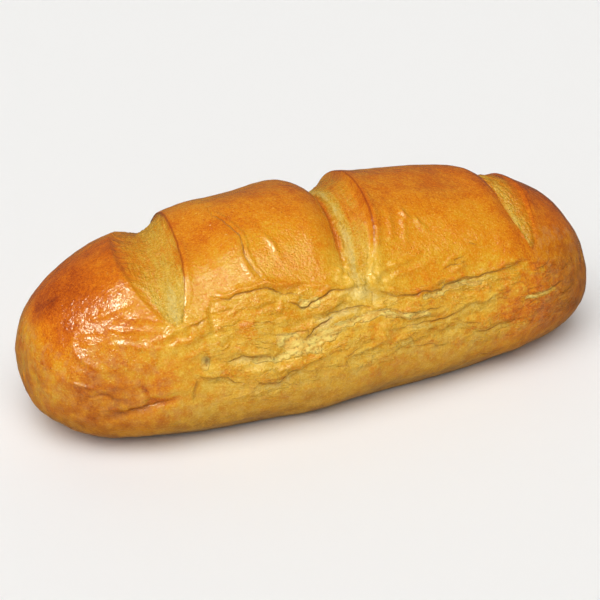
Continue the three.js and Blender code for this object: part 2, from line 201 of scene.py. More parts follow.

# where the slashes run out: place, size and share of the rough spots, and the lumps' places
ROUGH_SPOTS = [(0, 52, 11, 1.1), (-89, 57, 10, 0.5)]
SPOT_HEIGHT = 1.5
LUMPS = [(-10.3, 49.5), (-2.7, 47.2), (-6.9, 54.8), (-1.2, 57.8), (3.9, 55.8), (-89, 58), (-84, 60)]
LUMP_RISE, LUMP_RADIUS = 1.4, 2.1
PIT = (-1.2, 40.5, 1.2, 1.3)  # in the middle slash: place, radius, depth

# how far lines stray from their drawn course, and how far from them they still shape the skin
CRACK_WANDER, FOLD_WANDER, CRUMB_WANDER, SEAM_WANDER = 0.75, 0.9, 1.3, 0.35
EDGE_WANDER = 0.3  # as a share of the slash's half width
CRACK_REACH, FOLD_REACH = 14, 10

# section of a crack, as shares of its depth: its groove, and below it a bead and a slow climb
GROOVE_SHARE, BEAD_SHARE, CLIMB_SHARE = 0.55, 0.22, 0.28
CLIMB_LENGTH = 3.2
CRACK_LIP_PLACE, CRACK_LIP_WIDTH = 1.2, 1.3

# heights of the other relief
FOLD_HEIGHT = 1.25  # for a rise of 1
SWELL_HEIGHT, LEFT_SWELL_HEIGHT, FRONT_SWELL_HEIGHT, GRAIN_HEIGHT = 0.26, 0.2, 0.16, 0.08
WRINKLE_HEIGHT, FRONT_WRINKLE_HEIGHT, SCAR_HEIGHT = 0.24, 0.05, 0.55
BROAD_LEDGE, SMALL_LEDGE = 0.25, 0.10
CRUMB_DEPTH, PORE_DEPTH, CRUMB_HEIGHT = 0.45, 0.3, 0.35
STRAND_HEIGHT, FLOOR_HEIGHT, SEAM_HEIGHT = 0.30, 0.34, 0.4
FLOOR_COVER = 0.8  # share of the other small relief that a slash floor hides
HEEL_HEIGHT, HEEL_ANGLE = 0.22, 10

# ---- browning ---------------------------------------------------------------------------------

# share of browning, and the stations and the angles from the ridge over which it grows to that: None is
# everywhere, and a range that runs backwards grows the other way
BROWNER = [
    (-0.14, None, (8, 42)),
    (-0.10, None, (45, 75)),
    (0.03, (0, 40), None),
    (0.12, (66, 96), None),
    (0.10, (96, 132), None),
    # partly painted shade: darker on the right end's lower side, which is turned from the light
    (0.20, (84, 118), (50, 80)),
    (0.08, (-90, -104), None),
    (0.06, (-104, -136), None),
    # partly painted shade: darker on the left end's lower front, which is turned from the light
    (0.16, (-84, -120), (54, 86)),
    (0.06, (-96, -120), (56, 28)),
    (-0.13, (-134, -149), None),
]
EVEN_BAKE, PALE_FLOOR, BROWN_FLOOR, CRUMB_BAKE = 0.57, 0.06, 0.52, 0.14
TIP_STATIONS = (134, 149)  # over which the angle gives way to the tilt, because all angles meet at a tip
BASE_LINE = (0.4, 2.4)  # heights over which the dark line along the base fades out

# ---- repeatable noise -------------------------------------------------------------------------

draws = np.random.default_rng(750)
ORDER = draws.permutation(256)
HEADINGS = draws.normal(size=(256, 3))
HEADINGS /= np.linalg.norm(HEADINGS, axis=1, keepdims=True)
SPOTS = draws.random((256, 3))


def corner(cell):
    """A repeatable number from 0 to 255 for each whole-number cell."""
    i, j, k = (cell[..., n].astype(np.int64) & 255 for n in range(3))
    return ORDER[(ORDER[(ORDER[i] + j) & 255] + k) & 255]


def noise(p):
    """Smooth noise of about -1 to 1, with one swell for each unit of p."""
    cell = np.floor(p)
    f = p - cell
    ease = f ** 3 * (f * (f * 6 - 15) + 10)
    total = 0
    for step in np.ndindex(2, 2, 2):
        step = np.array(step)
        slope = HEADINGS[corner(cell + step)]
        share = np.prod(np.where(step == 1, ease, 1 - ease), axis=-1)
        total = total + share * np.sum(slope * (f - step), axis=-1)
    return 1.6 * total


def rough(p, size, octaves=3, seed=0, falloff=0.5):
    """Noise whose widest swells are size apart, with finer ones on top."""
    total, height = 0, 1
    for k in range(octaves):
        total = total + height * noise(p / size * 2 ** k + 17.3 * (seed + 1) + 31.7 * k)
        height *= falloff
    return total


def scatter(p, size, seed):
    """Distance to the nearest of many spots about size apart, as a share of size."""
    q = p / size + 9.1 * seed
    home = np.floor(q)
    nearest = np.full(q.shape[:-1], 9.0)
    for step in np.ndindex(3, 3, 3):
        cell = home + np.array(step) - 1
        nearest = np.minimum(nearest, np.linalg.norm(cell + SPOTS[corner(cell)] - q, axis=-1))
    return nearest


# ---- small functions of numbers ---------------------------------------------------------------

def bend(v, power):
    return np.sign(v) * np.abs(v) ** power


def smooth(v, low, high):
    t = np.clip((v - low) / (high - low), 0, 1)
    return t * t * (3 - 2 * t)


def mix(a, b, t):
    return a + (b - a) * t


def bump(v, width):
    return np.exp(-(v / width) ** 2)


def through(turns, x):
    """Value at x of a curve through (x, value) turns, level at each turn."""
    xs, values = np.array(turns, float).T
    k = np.clip(np.searchsorted(xs, x, side="right"), 1, len(xs) - 1)
    return mix(values[k - 1], values[k], smooth(x, xs[k - 1], xs[k]))


# ---- the solid's skin -------------------------------------------------------------------------

def station(turn):
    return LENGTH / 2 * bend(np.sin(turn), 2 / PLAN_POWER)


TURN_STEPS = np.linspace(-np.pi / 2, np.pi / 2, 4001)
STATION_STEPS = station(TURN_STEPS)
HALF_STEPS = WIDTH / 2 * np.cos(TURN_STEPS).clip(0) ** (2 / PLAN_POWER)
RUN_STEPS = np.concatenate([[0], np.cumsum(np.hypot(np.diff(STATION_STEPS), np.diff(HALF_STEPS)))])


def run_at_station(x):
    return np.interp(x, STATION_STEPS, RUN_STEPS)


def turn_at_run(run):
    return np.interp(run, RUN_STEPS, TURN_STEPS)


def section(turn):
    share = np.abs(np.sin(turn)) ** (2 / PLAN_POWER)

    def rounded(power):
        return np.clip(1 - share ** power, 0, None) ** (1 / power)

    return dict(
        x=station(turn),
        middle=BOW * (share ** 2 - 1 / 3),
        half=WIDTH / 2 * rounded(PLAN_POWER),
        rise=(HEIGHT - WIDEST_HEIGHT) * rounded(RIDGE_POWER),
        drop=WIDEST_HEIGHT * HEEL_REACH * rounded(HEEL_POWER),
    )


def foot_angle(cut):
    steep = (WIDEST_HEIGHT / np.maximum(cut["drop"], 1e-9)) ** (FOOT_POWER / 2)
    return 90 + np.degrees(np.arcsin(np.minimum(steep, math.sin(math.radians(STEEPEST_FOOT)))))


def smooth_skin(turn, angle):
    cut = section(turn)
    a = np.radians(np.abs(angle))
    sine, cosine = np.sin(a).clip(0), np.cos(a)
    upper = a <= np.pi / 2
    y = cut["half"] * np.where(upper, sine ** (2 / DOME_POWER), sine ** (2 / FOOT_POWER))
    z = np.where(upper, cut["rise"] * cosine.clip(0) ** (2 / DOME_POWER),
                 -cut["drop"] * (-cosine).clip(0) ** (2 / FOOT_POWER))
    place = np.broadcast_arrays(cut["x"], cut["middle"] - np.sign(angle) * y, WIDEST_HEIGHT + z)
    return np.stack(place, -1)


def facing(turn, angle):
    """The way the smooth skin faces."""
    step = 0.02
    t = np.clip(turn, step - np.pi / 2, np.pi / 2 - step)
    along = smooth_skin(t + step, angle) - smooth_skin(t - step, angle)
    down = smooth_skin(t, angle + math.degrees(step)) - smooth_skin(t, angle - math.degrees(step))
    out = np.cross(down, along)
    return out / np.linalg.norm(out, axis=-1, keepdims=True)


def waves(p, length):
    total = 0
    for k in range(1, WAVE_COUNT + 1):
        heading = k * WAVE_TURN
        rate = 2 * np.pi / (length * (0.7 + 0.12 * k))
        way = p[..., 0] * math.cos(heading) + p[..., 1] * math.sin(heading)
        way = way + p[..., 2] * math.cos(2 * heading)
        total = total + np.sin(rate * way + k * k)
    return 2 * total / WAVE_COUNT


def slash_at(slash, angle):
    """Middle line, openness and half width of a slash at an angle."""
    tip = np.where(angle > 0, slash["front"], slash["back"])
    u = np.clip(angle, -slash["back"], slash["front"]) / SLASH_SPAN
    opened = np.clip(1 - np.abs(angle / tip) ** slash["blunt"], 0, None) ** SLASH_TAPER
    bow = np.where(u > 0, slash["bow"], slash["back_bow"])
    return slash["x"] + slash["slant"] * u + bow * u * u, opened, slash["half"] * opened


def across(slash, x, angle):
    """Place across a slash, from -1 at its left edge to 1 at its right one, its openness and half width."""
    middle, opened, half = slash_at(slash, angle)
    return (x - middle) / np.maximum(half, 1e-6), opened, half


def slash_relief(slash, x, angle):
    g, opened, half = across(slash, x, angle)
    depth = slash["depth"] * opened ** DEPTH_TAPER
    deepest, left, right = slash["deepest"], slash["left_drop"], slash["right_drop"]
    fall = np.clip((-1 - g) * half / slash["shoulder"], 0, 1)
    shoulder = -depth * left * (1 - np.sqrt(1 - (1 - fall) ** 2))
    wall = -depth * mix(left, 1, np.sin(np.clip((g + 1) / (deepest + 1), 0, 1) * np.pi / 2))
    floor = -depth * mix(1, right, np.clip((g - deepest) / (1 - deepest), 0, 1) ** slash["climb"])
    lip = slash["lip"] * opened ** LIP_TAPER * bump(np.maximum(g - 1, 0) * half, LIP_WIDTH)
    floor = mix(floor, lip, smooth(g, slash["step"], 1))
    return np.where(opened > 0, np.where(g < -1, shoulder, np.where(g < deepest, wall, floor)), 0)


def tear_line(tear, x):
    wander = 0
    for length, share, phase in RAGGED_WAVES:
        wander = wander + share * np.sin(2 * np.pi * x / length + phase * tear["phase"])
    return through(tear["turns"], x) + RAGGED_ANGLE * wander


def tear_opening(tear, x):
    start, end = tear["turns"][0][0], tear["turns"][-1][0]
    ends = smooth(x, start, start + TEAR_FADE) * (1 - smooth(x, end - TEAR_FADE, end))
    return ends * (0.55 + 0.45 * np.sin(2 * np.pi * x / GAPE_LENGTH + 1.7 * tear["phase"] + 1))


def torn_band(x, angle):
    """1 between the upper and the lower tear, where they gape."""
    upper, lower = tear_line(TEARS[0], x), tear_line(TEARS[2], x)
    inside = smooth(angle, upper, upper + 5) * (1 - smooth(angle, lower - 4, lower + 2))
    return inside * tear_opening(TEARS[0], x)


def tear_relief(p, angle):
    x = p[..., 0]
    total = 0
    for tear in TEARS:
        off = angle - tear_line(tear, x)
        cut = np.where(off < 0, 1 - smooth(-off, 0, RIM_STEP), 1 - smooth(off, 0, TEAR_CLIMB))
        rim = np.where(off < 0, bump(off + RIM_STEP, RIM_WIDTH) * (1 - cut), 0)
        total = total + tear_opening(tear, x) * (RIM_RISE * rim - tear["depth"] * cut)
    return total + torn_band(x, angle) * (CRAG_HEIGHT * waves(p, CRAG_LENGTH) - SUNK_DEPTH)


def solid_relief(p, angle):
    """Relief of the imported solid."""
    x = p[..., 0]
    crown = np.where(np.abs(angle) < 90, np.cos(np.radians(angle)) ** 2, 0)
    total = through(CROWN, x) * crown + through(FLANK, x) * smooth(angle, 55, 95)
    total = total + UNEVEN_HEIGHT * waves(p, UNEVEN_LENGTH) + np.where(angle > 0, tear_relief(p, angle), 0)
    for slash in SLASHES:
        total = total + slash_relief(slash, x, angle)
    return total


# ---- smaller forms ----------------------------------------------------------------------------

def beside(line, x, angle):
    """Distance from a broken line, + below or right of it, and the share of the line passed."""
    pieces = list(zip(line, line[1:]))
    lengths = [math.dist(a, b) for a, b in pieces]
    nearest = np.full(x.shape, 1e9)
    side, share, passed = np.ones(x.shape), np.zeros(x.shape), 0
    for (a, b), length in zip(pieces, lengths):
        ux, ua = (b[0] - a[0]) / length, (b[1] - a[1]) / length
        dx, da = x - a[0], angle - a[1]
        t = np.clip(dx * ux + da * ua, 0, length)
        gap = np.hypot(dx - t * ux, da - t * ua)
        closer = gap < nearest
        nearest = np.where(closer, gap, nearest)
        side = np.where(closer, np.where(ux * da - ua * dx < 0, -1, 1), side)
        share = np.where(closer, (passed + t) / sum(lengths), share)
        passed += length
    return nearest * side, share


def near(line, along, angle, reach):
    """Which points lie within reach of a line's box."""
    places, angles = zip(*line)
    return ((along > min(places) - reach) & (along < max(places) + reach)
            & (angle > min(angles) - reach) & (angle < max(angles) + reach))


def laid(line):
    """A line of [station, angle] with its stations as lengths along the skin."""
    return [(float(run_at_station(x)), a) for x, a in line]


def crack_relief(p, along, angle):
    """Relief of the cracks, and for painting how far and open the nearest is, the painted highlight on the
    step below it and the painted shade inside it.
    """
    relief = np.zeros(along.shape)
    lit_ledge, crack_shade = np.zeros(along.shape), np.zeros(along.shape)
    line_off = np.full(along.shape, 9.0)
    line_open = np.zeros(along.shape)
    wander_x = CRACK_WANDER * rough(p, 6, 3, 1)
    wander_a = CRACK_WANDER * rough(p, 6, 3, 2)
    for depth, width, rise, line in CRACKS:
        line = laid(line)
        at = near(line, along, angle, CRACK_REACH)
        if not at.any():
            continue
        off, share = beside(line, along[at] + wander_x[at], angle[at] + wander_a[at])
        ends = np.clip(np.sin(np.pi * np.clip(share, 0.015, 0.985)), 0, 1) ** 0.45
        gape = ends * (0.75 + 0.35 * rough(p[at], 7, 2, 3))
        gape = np.clip(gape, 0, 1.2) * (1 - smooth(np.abs(off), CRACK_REACH - 5, CRACK_REACH - 1))
        groove = GROOVE_SHARE * bump(off, 1.25 * width)
        bead = BEAD_SHARE * bump(off - 2.4 * width, 1.1 * width)
        climb = CLIMB_SHARE * np.exp(-off / CLIMB_LENGTH)
        lip = rise * bump(off + CRACK_LIP_PLACE, CRACK_LIP_WIDTH)
        relief[at] += gape * depth * (np.where(off > 0, bead - climb, lip) - groove)
        lit_ledge[at] = np.maximum(lit_ledge[at], gape * np.minimum(depth, 1) * bump(off - 1.3, 0.8))
        sunk = np.where(off > 0, np.exp(-off / 1.6), np.exp(off / 0.4))
        crack_shade[at] = np.maximum(crack_shade[at], gape * np.minimum(depth, 1) * sunk)
        shown = gape * depth * (1 - smooth(np.abs(off), 1.6, 3))
        stronger = shown > line_open[at]
        line_off[at] = np.where(stronger, off / width, line_off[at])
        line_open[at] = np.where(stronger, shown, line_open[at])
    return relief, line_off, np.clip(line_open, 0, 1), np.clip(lit_ledge, 0, 1), np.clip(crack_shade, 0, 1)


def fold_relief(p, along, angle):
    """Relief of the soft folds, and how deep in a crease each place is, for the painted shade in creases."""
    relief, crease = np.zeros(along.shape), np.zeros(along.shape)
    wander_x = FOLD_WANDER * rough(p, 7, 3, 4)
    wander_a = FOLD_WANDER * rough(p, 7, 3, 5)
    for rise, width, line in FOLDS:
        line = laid(line)
        at = near(line, along, angle, FOLD_REACH)
        if not at.any():
            continue
        off, share = beside(line, along[at] + wander_x[at], angle[at] + wander_a[at])
        ends = np.clip(np.sin(np.pi * np.clip(share, 0.02, 0.98)), 0, 1) ** 0.6
        relief[at] += FOLD_HEIGHT * rise * ends * bump(off, width)
        if rise < 0:
            crease[at] = np.maximum(crease[at], ends * bump(off, 0.7 * width))
    return relief, crease


def crumb_cover(p, along, angle):
    """1 in the middle of each strip of bare crumb, 0.5 at its edge."""
    cover = np.zeros(along.shape)
    wander_x = CRUMB_WANDER * rough(p, 6, 3, 6)
    wander_a = CRUMB_WANDER * rough(p, 6, 3, 7)
    for half, line in CRUMB:
        line = laid(line)
        at = near(line, along, angle, 3 * half + 4)
        off, _ = beside(line, along[at] + wander_x[at], angle[at] + wander_a[at])
        cover[at] = np.maximum(cover[at], np.clip(1 - np.abs(off) / (2 * half), 0, 1))
    return cover


def flaky(x, angle):
    """1 where the crust of the front side flaked, fading out around it."""
    upper = tear_line(TEARS[0], np.clip(x, -80, 100))
    lower = np.minimum(tear_line(TEARS[2], np.clip(x, -90, 86)) + 6, 99)
    inside = smooth(angle, upper - 3, upper + 4) * (1 - smooth(angle, lower - 3, lower + 8))
    return inside * smooth(x, -92, -70) * (1 - smooth(x, 112, 132))


def scarred(x, angle):
    """How far the crust is pulled open under the solid's tears."""
    share = 0
    for tear in TEARS:
        off = angle - tear_line(tear, x)
        share = np.maximum(share, tear_opening(tear, x) * smooth(off, -0.5, 1) * (1 - smooth(off, 3, 7.5)))
    return share


def ledge_at(v, above, below):
    """A sharp step up where v passes 0, which fades out on both sides of it."""
    return np.where(v > 0, np.exp(-v / above), 0) - np.where(v < 0, np.exp(v / below), 0)


def flake_relief(x, angle):
    """Ragged, overlapping ledges that run along the loaf, and for painting how flaked each place is."""
    flat = np.stack([x, 2.6 * angle, 0 * x], -1)
    drift = np.stack([noise(flat / 7 + 40 * n) for n in range(3)], -1)
    broad = ledge_at(rough(flat + 2.2 * drift, 17, 3, 8, 0.42), 0.3, 0.35)
    small = ledge_at(rough(flat + 1.6 * drift, 8, 3, 9), 0.25, 0.3)
    flaked = flaky(x, angle) * smooth(rough(flat, 14, 2, 10), -0.45, 0.3)
    return flaked * (BROAD_LEDGE * broad + SMALL_LEDGE * small), flaked


def tip_relief(p, x, angle):
    """Lumps, roughness and a pit where the slashes run out into the torn side."""
    total = SPOT_HEIGHT * spot_share(x, angle) * rough(p, 4, 3, 22)
    ragged = 1.2 * rough(p, 4, 3, 28)
    for at_x, at_angle in LUMPS:
        total = total + LUMP_RISE * bump(np.hypot(x - at_x + ragged, angle - at_angle), LUMP_RADIUS)
    at_x, at_angle, radius, depth = PIT
    return total - depth * bump(np.hypot(x - at_x, angle - at_angle), radius)


def spot_share(x, angle):
    """How much of the roughness round the slash tips each place has."""
    return sum(share * bump(np.hypot(x - at_x, angle - at_angle), size)
               for at_x, at_angle, size, share in ROUGH_SPOTS)


def drawn_out(p, share):
    """Places squeezed along the loaf, so that noise on them is drawn out along it."""
    return np.stack([share * p[..., 0], p[..., 1], p[..., 2]], -1)


def fine_relief(p, x, angle):
    """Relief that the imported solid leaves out, with what the painting needs to know of it."""
    along = run_at_station(x)
    line_relief, line_off, line_open, lit_ledge, crack_shade = crack_relief(p, along, angle)
    folds, crease = fold_relief(p, along, angle)
    flakes, flaked = flake_relief(x, angle)
    total = line_relief + folds + flakes

    crumb = crumb_cover(p, along, angle)
    bare = smooth(crumb, 0.3, 0.66)
    pore = PORE_DEPTH * (0.55 - scatter(p, 2.8, 1))
    total = total - bare * (CRUMB_DEPTH + pore + CRUMB_HEIGHT * rough(p, 3.2, 3, 13))
    hole = bump(np.hypot(x - BITE[0], angle - BITE[1] + 0.8 * rough(p, 3, 2, 29)), BITE[2])
    total = total - BITE[3] * hole

    front = smooth(angle, 40, 60) * (1 - smooth(angle, 100, 125))
    wrinkled = smooth(angle, 26, 44) * (1 - smooth(angle, 84, 100)) * (1 - smooth(x, -88, -68))
    swell = SWELL_HEIGHT + LEFT_SWELL_HEIGHT * smooth(-x, 95, 120)
    total = total + swell * rough(p, 15, 3, 10) + GRAIN_HEIGHT * rough(p, 4.5, 2, 11)
    total = total + FRONT_SWELL_HEIGHT * front * rough(p, 9, 2, 12)
    wrinkles = rough(drawn_out(p, 0.45), 4.2, 3, 21)
    total = total + (WRINKLE_HEIGHT * wrinkled + FRONT_WRINKLE_HEIGHT * front) * wrinkles
    scar = scarred(x, angle)
    total = total + SCAR_HEIGHT * scar * rough(drawn_out(p, 0.6), 3.4, 3, 30)
    looks = dict(crack_off=line_off, crack_open=line_open, flaked=flaked, crumb=np.maximum(crumb, hole),
                 hole=hole, lit_ledge=lit_ledge, crack_shade=crack_shade, crease=crease, scar=scar)
    return total, looks


def slash_looks(p, x, angle):
    """Relief of the torn slash floors, and for painting how pale they are and how their strands run."""
    relief, floor, pale, browning_and_valley_shade, edge_open = 0, 0, 0, 0, 0
    nearest, strand_across, edge_off = 1e9, 0, 9
    for k, slash in enumerate(SLASHES):
        g, opened, half = across(slash, x, angle)
        shown = smooth(opened, 0.02, 0.3)
        strayed = np.where(g < 0.5, g + EDGE_WANDER * rough(p, 7, 3, 25), g)
        inside = smooth(strayed, *slash["left_edge"]) * (1 - smooth(g, *slash["right_edge"])) * shown
        run = x - slash_at(slash, angle)[0]
        strands = rough(np.stack([run / 1.4, angle / 7 + 9 * k, 0 * x], -1), 1, 3, 15, 0.6)
        relief = relief + inside * (STRAND_HEIGHT * strands + FLOOR_HEIGHT * rough(p, 2.4, 3, 16))
        base, strip, tip = slash["pale"]
        middle, width = slash["strip"]
        paleness = base + strip * bump(g - middle, width) + tip * smooth(angle, 18, 46)
        paleness = paleness + 0.22 * rough(np.stack([run / 3, angle / 14 + 5 * k, 0 * x], -1), 1, 3, 26)
        pale = np.where(inside > floor, np.clip(paleness, 0, 1), pale)
        floor = np.maximum(floor, inside)
        past = (g - 1) * half
        fading = 1 - smooth(angle, 0.5 * slash["front"], 0.85 * slash["front"])
        beyond = np.where(past > 0, 0.35 * np.exp(-past / 3), 0.35 * np.exp(past / 0.9))
        left = np.where(g < -0.6, np.exp(-np.abs(-1 - g) * half / 4), 0)
        left = left * slash["left_rim"] * (1 - smooth(angle, 6, 24))
        # painted shade where the crust rolls down into the slash
        valley_shade = slash["valley_shade"] * bump(g + 0.9, 0.25) * (1 - smooth(angle, 36, 54))
        browning_and_valley_shade = np.maximum(browning_and_valley_shade, shown * np.maximum(slash["line"] * fading * beyond, left + valley_shade))
        seam = SEAM_HEIGHT * bump(past - 2, 1.3) * smooth(angle, 6, 16) * (1 - smooth(angle, 40, 54))
        relief = relief + slash["line"] * shown * seam
        relief = relief + slash["fillet"] * shown * bump((g + 0.96) * half, 1.3)
        closer = np.abs(past) < np.abs(edge_off)
        edge_off = np.where(closer, past, edge_off)
        edge_open = np.where(closer, shown * slash["line"] * fading, edge_open)
        closer = np.abs(run) < nearest
        nearest = np.where(closer, np.abs(run), nearest)
        strand_across = np.where(closer, run + 40 * k, strand_across)
    edge_off = edge_off + SEAM_WANDER * rough(p, 6, 2, 24)
    return relief, dict(floor=floor, pale=pale, browning_and_valley_shade=browning_and_valley_shade, edge_off=edge_off,
                        edge_open=edge_open, strand_across=strand_across, strand_along=angle)


def baked(p, x, angle, side, looks, fine):
    """How brown each place of the crust is, from 0, bare crumb, to 1, dark brown, with some painted shade and
    painted highlight mixed in.
    """
    value = EVEN_BAKE
    for share, stations, sides in BROWNER:
        grown = smooth(x, *stations) if stations else 1
        value = value + share * grown * (smooth(side, *sides) if sides else 1)
    value = value + 0.05 * smooth(-angle, 30, 70) * (1 - smooth(np.abs(x), 110, 140))
    value = value + 0.14 * smooth(x, 54, 74) * smooth(angle, 66, 84) * (1 - smooth(x, 90, 120))
    value = value + 0.08 * smooth(-x, 112, 138) * np.clip(0.3 + rough(p, 16, 3, 23), 0, 1)
    value = value + 0.05 * rough(p, 30, 2, 17) + 0.05 * rough(p, 9, 3, 18)
    value = value + 0.13 * rough(p, 5, 3, 27) * smooth(side, 50, 62)
    value = value + 0.10 * np.clip(fine, -0.8, 0.5) * smooth(side, 40, 60)
    value = value - 0.27 * np.clip(spot_share(x, angle), 0, 1)
    # paler on the lit ledges below the cracks, a painted highlight, and paler where the tears pulled the
    # crust open
    value = value - 0.30 * looks["lit_ledge"] * flaky(x, angle) - 0.13 * looks["scar"]
    value = mix(value, mix(BROWN_FLOOR, PALE_FLOOR, looks["pale"]), looks["floor"])
    # browner along the slash lips, with painted shade in the slash valleys and painted shade in the creases
    # low on the sides
    value = value + 0.24 * looks["browning_and_valley_shade"] + 0.32 * looks["crease"] * smooth(side, 66, 80)
    return mix(value, CRUMB_BAKE, smooth(looks["crumb"], 0.35, 0.6))


def tanned_and_shaded_ends(x, side):
    """How brown, rather than orange, the crust is towards the loaf's ends: partly its own colour, partly
    painted shade.
    """
    left = 0.55 * smooth(-x, 90, 122) * smooth(side, 34, 100)
    right = 0.65 * smooth(x, 92, 120) * smooth(side, 35, 65)
    return left + right


# ---- the skin's grid --------------------------------------------------------------------------

def ring_turns(angle):
    """Turn of every ring at each angle. The rings between the slashes fan out to follow them."""
    angle = np.asarray(angle, float)
    runs, start, count = [], np.zeros_like(angle), CAP_RINGS
    for slash in SLASHES:
        middle, _, half = slash_at(slash, angle)
        tip = np.where(angle > 0, slash["front"], slash["back"])
        fan = smooth(np.abs(angle), tip - 12, FANNED_ANGLE)
        reach = np.maximum(half, mix(SLASH_TIP_HALF, FANNED_HALF, fan))
        left, right = run_at_station(middle - reach), run_at_station(middle + reach)
        runs += [mix(start, left, i / count) for i in range(1, count)]
        runs += [mix(left, right, (g + 1) / 2) for g in SLASH_LINES]
        runs.append(right)
        start, count = right, LOBE_RINGS
    runs += [mix(start, RUN_STEPS[-1], i / CAP_RINGS) for i in range(1, CAP_RINGS)]
    return turn_at_run(np.stack(runs, -1))


def spread(start, end, steps):
    return [mix(start, end, i / steps) for i in range(steps)]


def column_angles(foot):
    """Angles of the columns round each ring, and how many lie before the underside."""
    flat = 0 * foot
    angles = []
    for start, end, steps in FRONT_COLUMNS:
        angles += [flat + a for a in spread(start, end, steps)]
    angles += spread(flat + FRONT_COLUMNS[-1][1], foot, HEEL_COLUMNS)
    before = len(angles)
    angles += [foot] * UNDERSIDE_COLUMNS
    angles += spread(-foot, flat + BACK_COLUMNS[0][0], BACK_HEEL_COLUMNS)
    for start, end, steps in BACK_COLUMNS:
        angles += [flat + a for a in spread(start, end, steps)]
    return np.stack(angles, -1), before


def skin_grid():
    first = ring_turns(0.0)
    angle, before = column_angles(foot_angle(section(first)))
    rows, columns = angle.shape
    row = np.arange(rows)[:, None]
    column = np.arange(columns)[None]
    for _ in range(3):
        turn = ring_turns(angle)[row, column, row]
        angle = column_angles(foot_angle(section(turn)))[0][row, column, column]
    return turn, angle, before


def lay_skin(turn, angle):
    """Places of the skin, and what its painting needs at each."""
    p = smooth_skin(turn, angle)
    x = p[..., 0]
    out = facing(turn, angle)
    above_foot = foot_angle(section(turn)) - np.abs(angle)
    tilt = np.degrees(np.arccos(np.clip(out[..., 2], -1, 1)))
    side = mix(np.abs(angle), tilt, smooth(np.abs(x), *TIP_STATIONS))
    fine, looks = fine_relief(p, x, angle)
    floor_relief, slash_layers = slash_looks(p, x, angle)
    looks.update(slash_layers)
    fine = fine * (1 - FLOOR_COVER * looks["floor"]) + floor_relief + tip_relief(p, x, angle)
    looks.update(
        bake=baked(p, x, angle, side, looks, fine),
        low=np.maximum(smooth(side, 84, 122), tanned_and_shaded_ends(x, side)),
        foot=1 - smooth(p[..., 2], *BASE_LINE),
        top=1 - smooth(side, 45, 78),
        torn_side=flaky(x, angle),
    )
    looks["crack_open"] = looks["crack_open"] * (1 - looks["floor"])
    relief = (solid_relief(p, angle) + fine) * smooth(above_foot, 0, FOOT_FADE)
    relief = relief + HEEL_HEIGHT * (1 - smooth(above_foot, 0, HEEL_ANGLE)) * rough(p, 6, 3, 20)
    p = p + out * relief[..., None]
    p[..., 2] = np.maximum(p[..., 2], 0)
    return p, looks


turn, angle, before = skin_grid()
place, looks = lay_skin(turn, angle)
front_foot, _ = lay_skin(turn[:, before], angle[:, before])
back_foot, _ = lay_skin(turn[:, before], -angle[:, before])
for k in range(UNDERSIDE_COLUMNS):
    place[:, before + k] = mix(front_foot, back_foot, k / UNDERSIDE_COLUMNS)
    place[:, before + k, 2] = np.minimum(place[:, before + k, 2], mix(front_foot, back_foot, 0.5)[:, 2])

rows, columns = angle.shape
tips = smooth_skin(np.array([-np.pi / 2, np.pi / 2]), np.zeros(2))
points = np.concatenate([place.reshape(-1, 3), tips])
points = (points - (*CENTRE, 0)) * MM

i = np.arange(rows - 1)[:, None] * columns
j = np.arange(columns)[None]
onward = (j + 1) % columns
quads = np.stack([i + j, i + onward, i + columns + onward, i + columns + j], -1).reshape(-1, 4)
j, onward = j[0], onward[0]
last = (rows - 1) * columns
left_fan = np.stack([np.full(columns, rows * columns), onward, j], -1)
right_fan = np.stack([np.full(columns, rows * columns + 1), last + j, last + onward], -1)

mesh = bpy.data.meshes.new("loaf_crust")
mesh.from_pydata(points.tolist(), [], quads.tolist() + left_fan.tolist() + right_fan.tolist())
mesh.validate()
mesh.shade_smooth()
columns_of_faces = np.concatenate([np.tile(np.arange(columns), rows - 1), j, j])
flat_faces = (columns_of_faces >= before) & (columns_of_faces < before + UNDERSIDE_COLUMNS)
sharp = mesh.attributes.new("sharp_face", "BOOLEAN", "FACE")
sharp.data.foreach_set("value", flat_faces)
for name, values in looks.items():
    layer = mesh.attributes.new(name, "FLOAT", "POINT")
    ends = [values[0].mean(), values[-1].mean()]
    layer.data.foreach_set("value", np.concatenate([values.ravel(), ends]).astype(np.float32))
mesh.update()
loaf = bpy.data.objects.new("loaf_crust", mesh)
bpy.context.scene.collection.objects.link(loaf)
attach(loaf, "root")
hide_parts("loaf")

# ---- the crust's material ---------------------------------------------------------------------


def linear(red, green, blue):
    """A colour given as it looks on a screen, from 0 to 255."""
    def one(v):
        v /= 255
        return v / 12.92 if v <= 0.04045 else ((v + 0.055) / 1.055) ** 2.4
    return (one(red), one(green), one(blue), 1)


material = bpy.data.materials.new("bread_crust")
material.use_nodes = True
tree = material.node_tree
tree.nodes.clear()


def node(kind, inputs=(), **settings):
    """A new node with settings and inputs: an input is a number, a colour or another node's output."""
    made = tree.nodes.new(kind)
    for name, value in settings.items():
        setattr(made, name, value)
    for name, value in dict(inputs).items():
        socket = made.inputs[name]
        if isinstance(value, bpy.types.NodeSocket):
            tree.links.new(value, socket)
        else:
            socket.default_value = value
    return made


def attribute(name):
    return node("ShaderNodeAttribute", attribute_name=name).outputs["Fac"]


def maths(operation, a, b=0.0):
    return node("ShaderNodeMath", {0: a, 1: b}, operation=operation).outputs[0]


def plus(a, b):
    return maths("ADD", a, b)


def times(a, b):
    return maths("MULTIPLY", a, b)


def centred(value):
    return plus(value, -0.5)


def ranged(value, low, high, to_low=0.0, to_high=1.0):
    """value taken smoothly from low..high to to_low..to_high."""
    limits = {"From Min": low, "From Max": high, "To Min": to_low, "To Max": to_high}
    made = node("ShaderNodeMapRange", {"Value": value, **limits}, interpolation_type="SMOOTHSTEP")
    return made.outputs["Result"]


